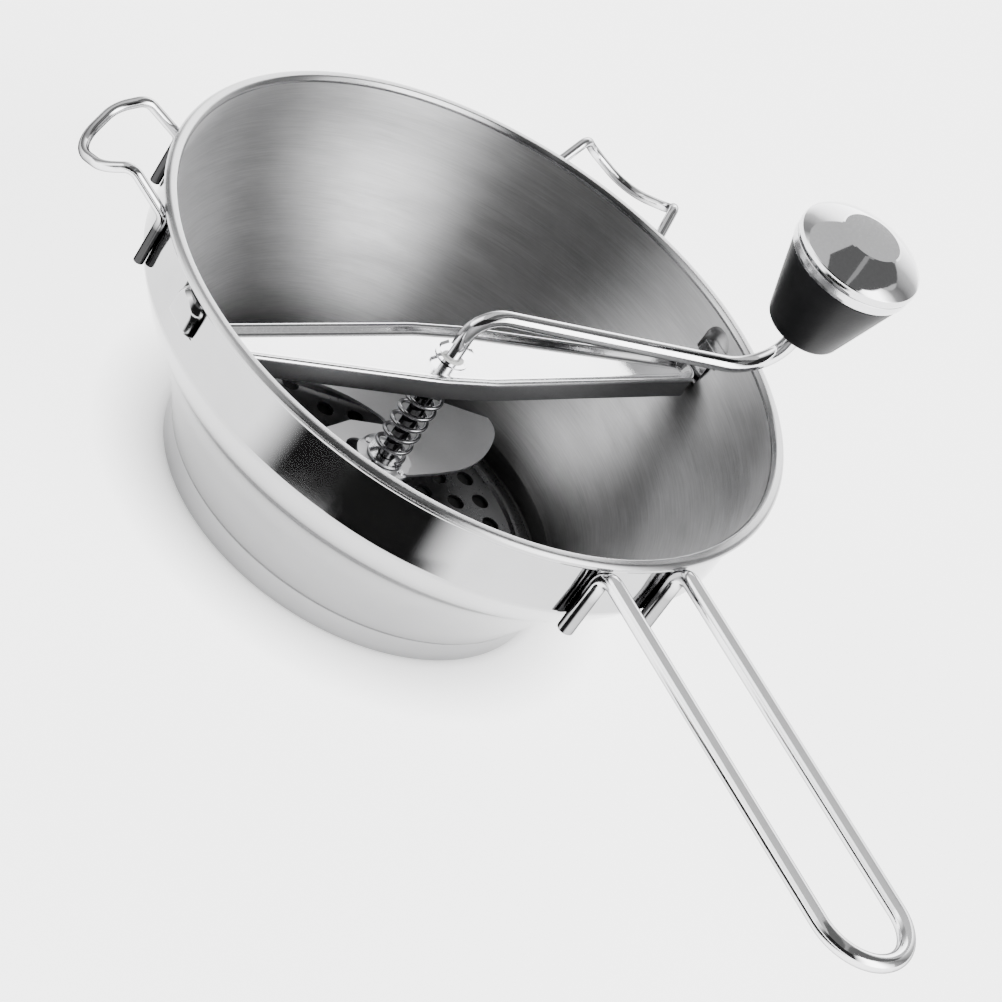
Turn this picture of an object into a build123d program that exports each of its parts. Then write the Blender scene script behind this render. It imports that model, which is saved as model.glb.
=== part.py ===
from build123d import *
import os
from math import cos, radians, sin, sqrt

# Rotary food mill: a pressed bowl that hangs on a pot's rim, a bar across it, and a crank that turns
# a blade over a perforated disc. Millimetres, +Z up, origin in the middle of the foot collar's lower
# edge, the long handle along +X.

# Bowl
RIM_RADIUS = 122.0
RIM_TOP = 100.0
RIM_HEIGHT = 3.4
RIM_EDGE = 1.2
BAND_RADIUS = 118.0
BAND_FOOT = 73.0
SHEET = 1.0
CONE = [(117.3, 71.6), (110.0, 60.0), (101.5, 50.0), (94.5, 40.0), (88.0, 30.0), (82.5, 20.0), (78.0, 10.6)]
CONE_SHEET = 1.2
COLLAR_TOP = 9.3
COLLAR_RADIUS = 76.8
LIP_RADIUS = 66.0

# Arched hoods pressed out of the band, which take the ends of the bar
HOOD_WIDTH = 15.0
HOOD_LOW = 82.0
HOOD_HIGH = 96.2
HOOD_DEPTH = 3.8
HOOD_ARCH = 6.0
HOOD_ROUND = 2.4

# Long handle
HANDLE_WIRE = 3.0
HANDLE_HALF_WIDTH = 17.6
HANDLE_START = 96.0
HANDLE_END = 93.2
HANDLE_REACH = 277.6
HANDLE_LEG_FOOT = 68.5
HANDLE_BEND = 6.0
WELD_GAP = 0.05

# Support hooks
HOOK_WIRE = 1.9
HOOK_AZIMUTH = {"support_hook_left": -123.5, "support_hook_rear": 122.0}
HOOK_LEG_FOOT = 73.0
HOOK_LEG_TOP = 93.4
HOOK_LEG_SPREAD = 24.5
HOOK_SHOULDER = (134.0, 21.0, 103.6)
HOOK_SIDE = (143.0, 18.5, 97.0)
HOOK_NOSE = (151.0, 0.0, 87.6)
HOOK_BENDS = [5.0, 5.0, 12.0, 17.0, 12.0, 5.0, 5.0]

# Bar across the bowl
BAR_AZIMUTH = -2.8
BAR_TOP = 76.8
BAR_FLOOR = 74.6
BAR_SKIRT = 68.5
BAR_SHEET = 0.8
BAR_MID_HALF_WIDTH = 15.0
BAR_MID_HALF_LENGTH = 12.0
BAR_END_HALF_WIDTH = 6.5
BAR_STRAIGHT = 110.0
BAR_TIP = 114.2
TAB_WIDTH = 8.6
TAB_RADIUS = 115.8
TAB_LOW = 72.8
TAB_HIGH = 87.4
TAB_TIP = 120.2

# Crank
ROD = 3.0
CRANK_AZIMUTH = 70.0
SHAFT_TIP = 0.6
ARM_ROOT = 96.0
ARM_RISE = 0.1
ARM_BENDS = [12.0, 19.0]
EAR_REACH = 6.6
EAR_LOW = 75.6
EAR_HIGH = 81.0
EAR_THICKNESS = 1.8

# Knob, measured along its own axis from the bottom of the grip
KNOB_RADIUS_FROM_AXIS = 112.9
KNOB_BOTTOM = 131.6
KNOB_LEAN_IN = 1.5
KNOB_LEAN_SIDE = -4.2
GRIP_LOW_RADIUS = 14.0
GRIP_TOP_RADIUS = 23.1
GRIP_HEIGHT = 32.6
GRIP_ROUND = 2.4
CORE_RADIUS = 9.0
CORE_BOTTOM = 4.0
CORE_FLANGE_RADIUS = 21.0
BAND_RING_TOP = 36.6
CAP_RADIUS = 24.2
CAP_EDGE_TOP = 39.6
CAP_TOP = 47.1
CAP_FLAT_RADIUS = 11.5
CAP_SHEET = 1.0
SLEEVE_RADIUS = 4.5
SLEEVE_TOP = 27.5
STEM_TOP = 31.0

# Bearings and spring
RUNNING_FIT = 0.08
SEAT_GAP = 0.04
WASHER_PLAY = 0.4
BUSH_RADIUS = 4.6
BUSH_FLANGE = 7.0
BUSH_LIP = 0.5
SPRING_RADIUS = 6.15
SPRING_WIRE = 0.85
SPRING_TURNS = 7
SPRING_TOP = 67.3
SPRING_BOTTOM = 25.1
WASHER = 1.0
WASHER_RADIUS = 7.0
LOCK_RING_RADIUS = 6.4
LOCK_RING_THICKNESS = 0.4

# Blade: each lobe is a curved plate with an arm behind it and a bent-down pushing edge, laid out along its fold
FOLD_AZIMUTH = 66.0
BLADE_SHEET = 1.2
BLADE_CURVE = [(-17.0, 26.4), (12.0, 21.9), (47.5, 20.0)]
FLAP_FOOT = (52.5, 3.4)
LOBE_TIP = [(31.7, 7.5), (39.5, 14.9), (46.2, 24.1), (50.9, 33.7), (52.6, 41.7), (50.6, 47.5)]
FRONT_LEADING_EDGE = [(0.0, -7.0), (7.9, -7.6), (22.2, 0.9)]
BACK_LEADING_EDGE = [(-1.0, -15.0), (13.6, -12.0), (24.0, -4.4)]
LOBE_ARM = [(-46.0, 47.5), (-50.5, 42.0), (-46.0, 34.0), (-38.0, 31.8), (-28.0, 33.0), (-18.0, 33.4),
            (-8.0, 31.4), (0.0, 28.0), (4.4, 24.0), (3.0, 19.5), (-3.0, 14.5), (-7.0, 9.5)]
FLAP_SPAN = (-36.0, 36.0)
LOBE_SLOT = (9.0, -0.5)
BLADE_SEAT = 22.4
BLADE_DISC_RADIUS = 11.0
HUB_RADIUS = 6.8
HUB_FLANGE = 10.1
HUB_BOTTOM = 9.0
HUB_NECK = 4.8
HUB_TOP = 24.0
RIVET_CIRCLE = 8.5
RIVET_RADIUS = 1.0
RIVET_HEAD = 1.6
PIN_RADIUS = 1.25
PIN_HEIGHT = 14.0

# Sieve disc
DISC_RADIUS = 73.4
DISC_BOTTOM = 1.05
DISC_SHEET = 1.0
RING_RADII = (65.9, 68.1)
RING_HEIGHT = 1.7
HOLE_RADIUS = 3.5
HOLE_RINGS = [(21.0, 9, 10.0), (33.0, 15, 94.0), (45.5, 22, 86.0), (57.5, 31, 75.2)]
DISC_HUB_RADIUS = 6.5
DISC_HUB_TOP = 6.0


def lathe(*points):
    """A solid of revolution about Z from (radius, height) corners."""
    outline = Polyline(*[(radius, 0, height) for radius, height in points], close=True)
    return revolve(make_face(outline), Axis.Z)


def ring(outer, inner, low, high):
    return lathe((inner, low), (outer, low), (outer, high), (inner, high))


def rod(radius, path):
    return sweep(Plane(path @ 0, z_dir=path % 0) * Circle(radius), path)


def at_azimuth(radius, aside, height, azimuth):
    """A point given outwards, sideways and up from the bowl's axis, at an azimuth in degrees."""
    angle = radians(azimuth)
    x = radius * cos(angle) - aside * sin(angle)
    y = radius * sin(angle) + aside * cos(angle)
    return (x, y, height)


def hood_block(inset, inner):
    """An arched block at -Y with its outward edges rounded, drawn in from the hood's outside by an inset."""
    outer = BAND_RADIUS + HOOD_DEPTH - inset
    height = HOOD_HIGH - HOOD_LOW - 2 * inset
    middle = (HOOD_HIGH + HOOD_LOW) / 2
    block = Pos(0, -(inner + outer) / 2, middle) * Box(HOOD_WIDTH - 2 * inset, outer - inner, height)
    block = fillet(block.edges().filter_by(Axis.Y).group_by(Axis.Z)[-1], HOOD_ARCH - inset)
    return fillet(block.faces().sort_by(Axis.Y)[0].edges(), HOOD_ROUND - inset)


def bowl_shell():
    outer = [(x, 0, z) for x, z in CONE]
    inner = [(x - CONE_SHEET, 0, z) for x, z in CONE]
    inside_top = BAND_RADIUS - SHEET
    rim_low = RIM_TOP - RIM_HEIGHT
    wall = [
        Spline(*outer),
        Polyline(
            outer[-1],
            (COLLAR_RADIUS, 0, COLLAR_TOP),
            (COLLAR_RADIUS, 0, 0),
            (LIP_RADIUS, 0, 0),
            (LIP_RADIUS, 0, SHEET),
            (COLLAR_RADIUS - CONE_SHEET, 0, SHEET),
            (COLLAR_RADIUS - CONE_SHEET, 0, COLLAR_TOP),
            inner[-1],
        ),
        Spline(*inner),
        Polyline(
            inner[0],
            (inside_top - 0.2, 0, BAND_FOOT),
            (inside_top, 0, RIM_TOP - RIM_EDGE / 2),
            (inside_top + RIM_EDGE / 2, 0, RIM_TOP),
            (RIM_RADIUS - RIM_EDGE, 0, RIM_TOP),
            (RIM_RADIUS, 0, RIM_TOP - RIM_EDGE),
            (RIM_RADIUS, 0, rim_low + RIM_EDGE),
            (RIM_RADIUS - RIM_EDGE, 0, rim_low),
            (BAND_RADIUS, 0, rim_low),
            (BAND_RADIUS - 0.2, 0, BAND_FOOT),
            outer[0],
        ),
    ]
    shell = revolve(make_face(wall), Axis.Z)
    solid = hood_block(0, BAND_RADIUS - SHEET)
    hollow = hood_block(SHEET, BAND_RADIUS - 4 * SHEET)
    for turn in (0, 180):
        side = Rot(0, 0, turn + BAR_AZIMUTH)
        shell = shell + side * solid - side * hollow
    return shell


def long_handle():
    leg_x = sqrt((BAND_RADIUS + HANDLE_WIRE + WELD_GAP) ** 2 - HANDLE_HALF_WIDTH**2)
    side = HANDLE_HALF_WIDTH
    path = FilletPolyline(
        (leg_x, side, HANDLE_LEG_FOOT),
        (leg_x, side, HANDLE_START),
        (HANDLE_REACH, side, HANDLE_END),
        (HANDLE_REACH, -side, HANDLE_END),
        (leg_x, -side, HANDLE_START),
        (leg_x, -side, HANDLE_LEG_FOOT),
        radius=[HANDLE_BEND, side - 0.1, side - 0.1, HANDLE_BEND],
    )
    return rod(HANDLE_WIRE, path)


def support_hook(azimuth):
    leg_out = sqrt((BAND_RADIUS + HOOK_WIRE + WELD_GAP) ** 2 - HOOK_LEG_SPREAD**2)
    half = [
        (leg_out, HOOK_LEG_SPREAD, HOOK_LEG_FOOT),
        (leg_out, HOOK_LEG_SPREAD, HOOK_LEG_TOP),
        HOOK_SHOULDER,
        HOOK_SIDE,
    ]
    other = [(out, -aside, height) for out, aside, height in reversed(half)]
    points = [at_azimuth(*point, azimuth) for point in half + [HOOK_NOSE] + other]
    return rod(HOOK_WIRE, FilletPolyline(*points, radius=HOOK_BENDS))


def bar_face(inset):
    """The bar's plan, drawn in from its edge by an inset."""
    middle = BAR_MID_HALF_WIDTH - inset
    end = BAR_END_HALF_WIDTH - inset
    long, short = BAR_STRAIGHT - inset, BAR_MID_HALF_LENGTH
    tip = BAR_TIP - inset
    right = Polyline((end, -long), (middle, -short), (middle, short), (end, long))
    left = Polyline((-end, long), (-middle, short), (-middle, -short), (-end, -long))
    top = ThreePointArc((end, long), (0, tip), (-end, long))
    bottom = ThreePointArc((-end, -long), (0, -tip), (end, -long))
    return make_face([right, top, left, bottom])


def bar_prism(inset, low, high):
    return extrude(Pos(0, 0, low) * bar_face(inset), high - low)


def bridge_bar():
    bead = 3 * BAR_SHEET
    bar = bar_prism(0, BAR_SKIRT, BAR_TOP)
    bar -= bar_prism(bead, BAR_FLOOR, BAR_TOP)
    bar -= bar_prism(bead - BAR_SHEET, BAR_SKIRT, BAR_FLOOR - BAR_SHEET)
    bead_hollow = bar_prism(BAR_SHEET, BAR_SKIRT, BAR_TOP - BAR_SHEET)
    bead_hollow -= bar_prism(bead - BAR_SHEET, BAR_SKIRT, BAR_TOP)
    bar -= bead_hollow
    bar -= Cylinder(BUSH_RADIUS + SEAT_GAP, 4 * BAR_TOP)
    side = Polyline(
        (0, BAR_TIP - BAR_SHEET / 2, TAB_LOW),
        (0, TAB_RADIUS, TAB_LOW),
        (0, TAB_RADIUS, TAB_HIGH),
        (0, TAB_TIP, TAB_HIGH),
        (0, TAB_TIP, TAB_HIGH + BAR_SHEET),
        (0, TAB_RADIUS - BAR_SHEET, TAB_HIGH + BAR_SHEET),
        (0, TAB_RADIUS - BAR_SHEET, TAB_LOW + BAR_SHEET),
        (0, BAR_TIP - BAR_SHEET / 2, TAB_LOW + BAR_SHEET),
        close=True,
    )
    tab = extrude(make_face(side), TAB_WIDTH / 2, dir=(1, 0, 0), both=True)
    for turn in (0, 180):
        bar += Rot(0, 0, turn) * tab
    return Rot(0, 0, BAR_AZIMUTH) * bar


def bridge_bush():
    bore = ROD + RUNNING_FIT
    sheet_low = BAR_FLOOR - BAR_SHEET
    return lathe(
        (bore, BAR_SKIRT),
        (BUSH_RADIUS, BAR_SKIRT),
        (BUSH_RADIUS, sheet_low - WASHER),
        (BUSH_FLANGE, sheet_low - WASHER),
        (BUSH_FLANGE, sheet_low),
        (BUSH_RADIUS, sheet_low),
        (BUSH_RADIUS, BAR_FLOOR + BUSH_LIP),
        (bore, BAR_FLOOR + BUSH_LIP),
    )


def compression_spring():
    low = SPRING_BOTTOM + SPRING_WIRE + 0.05
    high = SPRING_TOP - SPRING_WIRE - 0.05
    pitch = (high - low) / SPRING_TURNS
    path = Pos(0, 0, low) * Helix(pitch, high - low, SPRING_RADIUS)
    return sweep(Plane(path @ 0, z_dir=path % 0) * Circle(SPRING_WIRE), path, is_frenet=True)


def knob_direction():
    lean_in = radians(KNOB_LEAN_IN)
    lean_side = radians(KNOB_LEAN_SIDE)
    return Vector(*at_azimuth(-sin(lean_in), sin(lean_side), cos(lean_in) * cos(lean_side), CRANK_AZIMUTH))


def knob_frame():
    origin = at_azimuth(KNOB_RADIUS_FROM_AXIS, 0, KNOB_BOTTOM, CRANK_AZIMUTH)
    return Plane(origin, z_dir=knob_direction()).location


def crank_rod():
    stem = knob_direction().normalized()
    base = Vector(*at_azimuth(KNOB_RADIUS_FROM_AXIS, 0, KNOB_BOTTOM, CRANK_AZIMUTH))
    elbow_height = ARM_ROOT + ARM_RISE * KNOB_RADIUS_FROM_AXIS
    elbow = base - stem * ((KNOB_BOTTOM - elbow_height) / stem.Z)
    path = FilletPolyline(
        (0, 0, SHAFT_TIP),
        (0, 0, ARM_ROOT),
        tuple(elbow),
        tuple(base + stem * STEM_TOP),
        radius=ARM_BENDS,
    )
    ear = Box(2 * EAR_REACH, EAR_THICKNESS, EAR_HIGH - EAR_LOW)
    ear = chamfer(ear.edges().filter_by(Axis.Y), ROD * 0.7)
    return rod(ROD, path) + Pos(0, 0, (EAR_LOW + EAR_HIGH) / 2) * Rot(0, 0, CRANK_AZIMUTH) * ear


def lobe(leading_edge, slotted):
    """One blade lobe in its own frame: X along the fold line, Y back to the fold."""
    (front, front_z), (middle, middle_z), (fold, fold_z) = BLADE_CURVE
    foot, foot_z = FLAP_FOOT
    drop = BLADE_SHEET
    section = make_face(
        [
            ThreePointArc((0, front, front_z), (0, middle, middle_z), (0, fold, fold_z)),
            Polyline(
                (0, fold, fold_z),
                (0, foot, foot_z),
                (0, foot - drop, foot_z),
                (0, fold - drop, fold_z - drop),
            ),
            ThreePointArc(
                (0, fold - drop, fold_z - drop), (0, middle, middle_z - drop), (0, front, front_z - drop)
            ),
            Line((0, front, front_z - drop), (0, front, front_z)),
        ]
    )
    reach = LOBE_TIP[-2][0] + 1
    plate = Pos(-reach, 0, 0) * extrude(section, amount=2 * reach, dir=(1, 0, 0))
    near, far = FLAP_SPAN
    flap = Polyline(LOBE_TIP[-1], (far, foot + 1), (near, foot + 1), (near, fold), LOBE_ARM[0])
    front_edge = Polyline(LOBE_ARM[-1], *leading_edge, LOBE_TIP[0])
    plan = make_face([Spline(*LOBE_TIP), flap, Spline(*LOBE_ARM), front_edge])
    plate = plate & extrude(plan, 2 * BAND_FOOT)
    if slotted:
        plate -= Pos(*LOBE_SLOT, BLADE_SEAT) * extrude(Ellipse(6.5, 4.5), BLADE_SEAT, both=True)
    return plate


def blade_hub():
    bore = ROD + SEAT_GAP
    flange_low = BLADE_SEAT - 1.5
    hub = lathe(
        (bore, HUB_BOTTOM),
        (HUB_RADIUS, HUB_BOTTOM),
        (HUB_RADIUS, flange_low),
        (HUB_FLANGE, flange_low),
        (HUB_FLANGE, BLADE_SEAT),
        (HUB_NECK, BLADE_SEAT),
        (HUB_NECK, HUB_TOP),
        (bore, HUB_TOP),
    )
    return hub - rivet_holes() - pin_hole()


def blade():
    seat = ring(BLADE_DISC_RADIUS, HUB_NECK + SEAT_GAP, BLADE_SEAT, BLADE_SEAT + BLADE_SHEET)
    middle = Cylinder(BLADE_DISC_RADIUS - 0.8, 2 * BAND_FOOT)
    front = Rot(0, 0, FOLD_AZIMUTH) * lobe(FRONT_LEADING_EDGE, False) - middle
    back = Rot(0, 0, FOLD_AZIMUTH + 180) * lobe(BACK_LEADING_EDGE, True) - middle
    return seat + front + back - rivet_holes()


def rivet_places():
    places = []
    for turn in (45, 135, 225, 315):
        places.append(Pos(*at_azimuth(RIVET_CIRCLE, 0, 0, FOLD_AZIMUTH + turn)))
    return places


def rivet_holes():
    hole = Cylinder(RIVET_RADIUS + SEAT_GAP, 2 * BAND_FOOT)
    return [place * hole for place in rivet_places()]


def blade_rivets():
    low = BLADE_SEAT - 1.5
    high = BLADE_SEAT + BLADE_SHEET
    rivet = lathe(
        (0, low - 0.8),
        (RIVET_HEAD, low - 0.8),
        (RIVET_HEAD, low),
        (RIVET_RADIUS, low),
        (RIVET_RADIUS, high),
        (RIVET_HEAD, high),
        (RIVET_HEAD * 0.7, high + 0.4),
        (0, high + 0.4),
    )
    return Compound([place * rivet for place in rivet_places()])


def pin_hole():
    return Pos(0, 0, PIN_HEIGHT) * Rot(0, 90, 0) * Cylinder(PIN_RADIUS + SEAT_GAP, 4 * HUB_RADIUS)


def hub_pin():
    return Pos(0, 0, PIN_HEIGHT) * Rot(0, 90, 0) * Cylinder(PIN_RADIUS, 2 * HUB_RADIUS)


def sieve_disc():
    top = DISC_BOTTOM + DISC_SHEET
    crest = top + RING_HEIGHT
    ring_in, ring_out = RING_RADII
    disc = lathe(
        (BUSH_RADIUS, DISC_BOTTOM),
        (ring_in + 0.4, DISC_BOTTOM),
        (ring_in + 1.1, DISC_BOTTOM + 1.0),
        (ring_out - 0.5, DISC_BOTTOM + 1.0),
        (ring_out, DISC_BOTTOM),
        (DISC_RADIUS, DISC_BOTTOM),
        (DISC_RADIUS, top),
        (ring_out + 0.4, top),
        (ring_out - 0.2, crest),
        (ring_in + 0.6, crest),
        (ring_in, top),
        (BUSH_RADIUS, top),
    )
    holes = []
    for radius, count, start in HOLE_RINGS:
        for index in range(count):
            azimuth = start + 360.0 * index / count
            holes.append(Pos(*at_azimuth(radius, 0, top, azimuth)) * Cylinder(HOLE_RADIUS, 4 * DISC_SHEET))
    return disc - holes


def disc_hub():
    bore = ROD + RUNNING_FIT
    top = DISC_BOTTOM + DISC_SHEET
    neck = BUSH_RADIUS - SEAT_GAP
    return lathe(
        (bore, SHAFT_TIP - 0.3),
        (neck, SHAFT_TIP - 0.3),
        (neck, top),
        (DISC_HUB_RADIUS, top),
        (DISC_HUB_RADIUS, DISC_HUB_TOP),
        (bore, DISC_HUB_TOP),
    )


def knob_grip():
    wall_low = CORE_RADIUS + SEAT_GAP
    mouth = SLEEVE_RADIUS + SEAT_GAP
    grip = lathe(
        (mouth, 0),
        (GRIP_LOW_RADIUS, 0),
        (GRIP_TOP_RADIUS, GRIP_HEIGHT),
        (wall_low, GRIP_HEIGHT),
        (wall_low, CORE_BOTTOM),
        (mouth, CORE_BOTTOM),
    )
    lower_rim = grip.edges().filter_by(GeomType.CIRCLE).group_by(Axis.Z)[0].sort_by(SortBy.RADIUS)[-1]
    return knob_frame() * fillet(lower_rim, GRIP_ROUND)


def knob_core():
    mouth = SLEEVE_RADIUS + SEAT_GAP
    recess = SLEEVE_TOP + 0.5
    flange = GRIP_HEIGHT + 1.6
    core = lathe(
        (mouth, CORE_BOTTOM),
        (CORE_RADIUS, CORE_BOTTOM),
        (CORE_RADIUS, GRIP_HEIGHT),
        (CORE_FLANGE_RADIUS, GRIP_HEIGHT),
        (CORE_FLANGE_RADIUS, flange),
        (CORE_RADIUS - 1.4, flange),
        (CORE_RADIUS - 1.4, recess),
        (mouth, recess),
    )
    return knob_frame() * core


def knob_cap():
    cap = lathe(
        (0, CAP_TOP),
        (CAP_FLAT_RADIUS - 0.6, CAP_TOP),
        (CAP_FLAT_RADIUS + 0.6, CAP_TOP - 0.4),
        (CAP_RADIUS - 1.0, CAP_EDGE_TOP + 0.4),
        (CAP_RADIUS, CAP_EDGE_TOP - 1.0),
        (CAP_RADIUS, BAND_RING_TOP + 0.8),
        (CAP_RADIUS - 0.3, BAND_RING_TOP),
        (CAP_RADIUS - 1.6, BAND_RING_TOP),
        (CAP_RADIUS - 1.6, CAP_EDGE_TOP - 0.6),
        (CAP_FLAT_RADIUS, CAP_TOP - CAP_SHEET),
        (0, CAP_TOP - CAP_SHEET),
    )
    return knob_frame() * cap


def build_parts():
    washer_bore = ROD + WASHER_PLAY
    lock_bore = BUSH_RADIUS + SEAT_GAP
    lock_top = BAR_FLOOR + LOCK_RING_THICKNESS
    frame = knob_frame()
    parts = {
        "bowl_shell": bowl_shell(),
        "long_handle": long_handle(),
        "sieve_disc": sieve_disc(),
        "disc_hub": disc_hub(),
        "bridge_bar": bridge_bar(),
        "bridge_bush": bridge_bush(),
        "bush_lock_ring": ring(LOCK_RING_RADIUS, lock_bore, BAR_FLOOR, lock_top),
        "upper_spring_washer": ring(WASHER_RADIUS, washer_bore, SPRING_TOP, SPRING_TOP + WASHER),
        "compression_spring": compression_spring(),
        "lower_spring_washer": ring(WASHER_RADIUS, washer_bore, SPRING_BOTTOM - WASHER, SPRING_BOTTOM),
        "crank_rod": crank_rod() - pin_hole(),
        "blade_hub": blade_hub(),
        "blade": blade(),
        "blade_rivets": blade_rivets(),
        "hub_pin": hub_pin(),
        "knob_washer": frame * ring(6.2, ROD + SEAT_GAP, -1.5, -0.5),
        "stem_push_nut": frame * ring(6.3, ROD + SEAT_GAP, SLEEVE_TOP + 1.1, SLEEVE_TOP + 2.3),
        "knob_grip": knob_grip(),
        "knob_core": knob_core(),
        "knob_sleeve": frame * ring(SLEEVE_RADIUS, ROD + RUNNING_FIT, 0.6, SLEEVE_TOP),
        "knob_band": frame * ring(CAP_RADIUS - 0.3, CORE_FLANGE_RADIUS + 0.3, GRIP_HEIGHT + 0.1, BAND_RING_TOP),
        "knob_cap": knob_cap(),
    }
    for name, azimuth in HOOK_AZIMUTH.items():
        parts[name] = support_hook(azimuth)
    return parts


def main():
    os.makedirs("parts", exist_ok=True)
    for name, shape in build_parts().items():
        export_step(shape, f"parts/{name}.step")


main()
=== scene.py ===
import math

import bmesh
import bpy
from mathutils import Matrix, Vector


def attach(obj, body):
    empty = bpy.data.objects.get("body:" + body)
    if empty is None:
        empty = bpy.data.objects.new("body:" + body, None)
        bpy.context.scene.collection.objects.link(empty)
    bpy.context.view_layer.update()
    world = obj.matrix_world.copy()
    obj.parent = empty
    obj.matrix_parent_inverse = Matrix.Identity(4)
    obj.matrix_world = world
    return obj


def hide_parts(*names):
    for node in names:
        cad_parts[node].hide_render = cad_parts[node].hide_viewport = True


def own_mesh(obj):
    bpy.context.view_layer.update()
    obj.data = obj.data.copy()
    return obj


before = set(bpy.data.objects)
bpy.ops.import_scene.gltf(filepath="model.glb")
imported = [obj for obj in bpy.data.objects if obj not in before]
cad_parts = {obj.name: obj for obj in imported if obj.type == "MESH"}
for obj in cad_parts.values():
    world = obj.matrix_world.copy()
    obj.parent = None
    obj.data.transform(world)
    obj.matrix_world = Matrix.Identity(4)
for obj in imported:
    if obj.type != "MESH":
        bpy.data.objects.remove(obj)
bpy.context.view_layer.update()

MM = 0.001

# Camera: looking at a point in the middle of the part, rolled so that the handle points down to the right
CAMERA_TARGET = Vector((0.0534, 0.0012, 0.0581))
CAMERA_AZIMUTH = -53.04
CAMERA_ELEVATION = 33.90
CAMERA_DISTANCE = 1.15
CAMERA_ROLL = -35.5
CAMERA_LENS = 119.48

# The studio's dark side, towards the camera, radians
DARK_SIDE = math.radians(-53)
# Brightness of the sky round the horizon, (azimuth in degrees, share)
SKY_STRENGTH = 10.0
SKY_LEVELS = [(-180, 0.05), (-165, 0.04), (-148, 0.16), (-126, 0.55), (-108, 0.27), (-90, 0.03),
              (-80, 0.003), (-24, 0.003), (-14, 0.35), (-3, 0.80), (8, 1.0), (28, 1.0), (42, 0.38),
              (54, 0.06), (72, 0.03), (92, 0.11), (112, 0.50), (128, 0.80), (150, 0.50), (165, 0.12),
              (180, 0.05)]
# Where the dim roof starts, (azimuth in degrees, sine of the elevation)
ROOF_EDGE = [(-180, 0.60), (-110, 0.62), (-24, 0.64), (-4, 0.80), (44, 0.80), (60, 0.68), (84, 0.62),
             (112, 0.56), (119, 0.515), (124, 0.527), (130, 0.570), (136, 0.61), (150, 0.62), (180, 0.60)]
ROOF_GREY = 0.095
# The dark pane in the roof: straight edges as (share towards, share across, limit), and its stripe
DARK_ROOF_EDGES = [(0.0, 1.0, 0.60), (0.0, -1.0, 0.36), (-0.61, -1.0, 0.317), (-1.0, 1.0, 1.13)]
DARK_ROOF_BACK = -0.69
DARK_ROOF_GREY = 0.018
STRIPE_MIDDLE = 0.16
STRIPE_HALF = 0.035
STRIPE_SHARE = 0.45

# The floor glows outside the foot; under and next to the foot it is painted dark and the glow fades in,
# painted shade, metres
GLOW_START = 0.070
PALE_START = 0.080
GLOW_FULL = 0.105
GLOW_STRENGTH = 3.2

# Dark card on the floor: a sector, degrees and metres
CARD_MIDDLE = -51.0
CARD_HALF = 25.0
CARD_SOFT = 7.0
CARD_SWEEP = 40
CARD_STEP = 4
CARD_NEAR = 0.20
CARD_FAR = 0.75
CARD_HEIGHT = 0.0006
# A second, higher card beside it, (x, y) in millimetres
SIDE_CARD_HEIGHT = 1.2
SIDE_CARD = [(88, -122), (148, -42), (204, -18), (216, -55), (205, -80), (150, -146), (112, -160)]

# Knob axis, millimetres
CRANK_AZIMUTH = 70.0
KNOB_FROM_AXIS = 112.9
KNOB_BOTTOM = 131.6
KNOB_LEAN_IN = 1.5
KNOB_LEAN_SIDE = -4.2

# Bowl, (radius, height) in millimetres: the cone's outside from the band down to the foot
CONE = [(117.3, 71.6), (110.0, 60.0), (101.5, 50.0), (94.5, 40.0), (88.0, 30.0), (82.5, 20.0), (78.0, 10.6)]
CONE_SHEET = 1.2
# The same with a fillet radius: (radius, height, fillet)
FOOT = [(76.8, 9.3, 1.2), (76.8, 0.0, 1.2), (66.0, 0.0, 0.3), (66.0, 1.0, 0.3), (75.6, 1.0, 1.0),
        (75.6, 9.3, 1.0)]
INNER_BEND = [(108.6, 60.5, 0.0), (112.2, 66.5, 0.0), (114.7, 72.5, 0.0), (116.2, 79.0, 0.0),
              (116.9, 86.0, 0.0)]
RIM = [(117.0, 98.6, 1.2), (118.0, 100.0, 0.8), (120.6, 100.0, 1.6), (122.0, 98.4, 1.4), (121.2, 96.6, 1.0),
       (118.0, 96.6, 0.5), (118.0, 85.0, 0.0), (117.8, 73.2, 0.6)]
RIM_INSIDE_TOP = 0.0975
BOWL_SEGMENTS = 288

# Hoods for the ends of the bar, millimetres; the layers are (radius, how far drawn in)
HOOD_HALF_WIDTH = 7.5
HOOD_LOW = 82.0
HOOD_HIGH = 96.2
HOOD_ARCH = 6.6
HOOD_GROOVE = [(117.4, -0.6), (118.6, -0.6)]
HOOD_LAYERS = [(117.2, 0.0), (118.1, 0.0), (118.9, 0.3), (120.1, 0.9), (121.0, 1.7), (121.5, 2.5),
               (121.8, 3.4)]
HOLLOW_LAYERS = [(114.0, 0.4), (117.0, 0.4), (117.6, 0.7), (118.2, 1.1), (119.0, 1.5), (120.0, 2.2),
                 (120.8, 3.6)]
HOOD_CORNER = 3.0

# Bar across the bowl
BAR_AZIMUTH = -2.8
BAR_HALF_WIDTH = 15.0
BAR_MIDDLE = 12.0
BAR_END_HALF_WIDTH = 6.5
BAR_STRAIGHT = 110.0
BAR_TIP = 114.2
BAR_TIP_HALF_WIDTH = 2.5
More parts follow.
